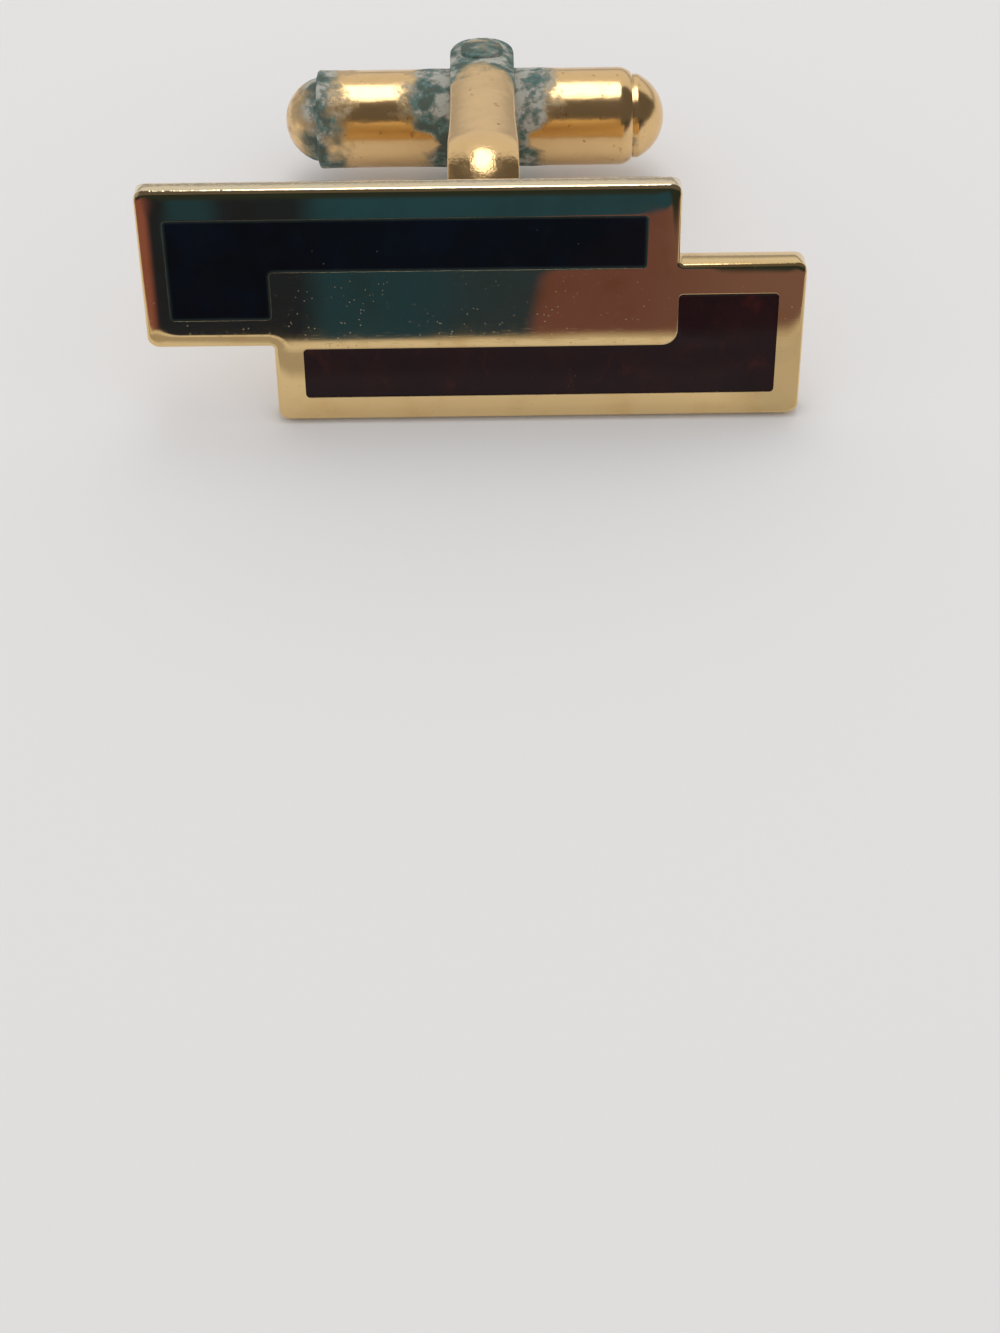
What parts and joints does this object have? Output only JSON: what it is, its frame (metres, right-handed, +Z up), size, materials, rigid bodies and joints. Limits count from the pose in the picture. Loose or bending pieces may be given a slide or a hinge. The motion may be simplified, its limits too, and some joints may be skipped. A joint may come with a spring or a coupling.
{
  "type": "cufflink",
  "caption": "Cufflink with a stepped gold plate of overlapping panels, navy and maroon enamel cells, and a bullet toggle that swivels in a forked post.",
  "frame": {"origin": "centre of the bounding box's bottom, on the table that the link rests on", "axes": "+X along the long side of the face, to the viewer's right; -Y towards the viewer, the way the face looks; +Z up from the table"},
  "size_m": [0.026, 0.0184, 0.0102],
  "materials": {
    "polished_gold": "gold-plated brass, mirror polish with fine scratches",
    "worn_gold": "gold-plated brass with patches of green verdigris",
    "tarnished_brass": "brass rivet, tarnished grey-green with flecks of gold",
    "navy_enamel": "glossy navy enamel",
    "maroon_enamel": "glossy dark maroon enamel with faint smears",
    "solder": "dull silver-white solder",
    "spring_steel": "bright spring steel"
  },
  "bodies": {
    "link": {"face_plate": "polished_gold", "navy_enamel": "navy_enamel", "maroon_enamel": "maroon_enamel", "solder_fillet": "solder", "yoke": "worn_gold", "pivot_rivet": "tarnished_brass"},
    "toggle": {"toggle_tube": "worn_gold", "left_end_cap": "worn_gold", "right_end_cap": "worn_gold", "front_leaf_spring": "spring_steel", "rear_leaf_spring": "spring_steel"}
  },
  "joints": [
    {"name": "toggle_swivel", "type": "hinge", "parent": "link", "child": "toggle", "pos_m": [0.0004, 0.00707, 0.0034], "axis": [0, 0.1806, 0.9836], "continuous": true, "deforming": ["front_leaf_spring", "rear_leaf_spring"]}
  ]
}
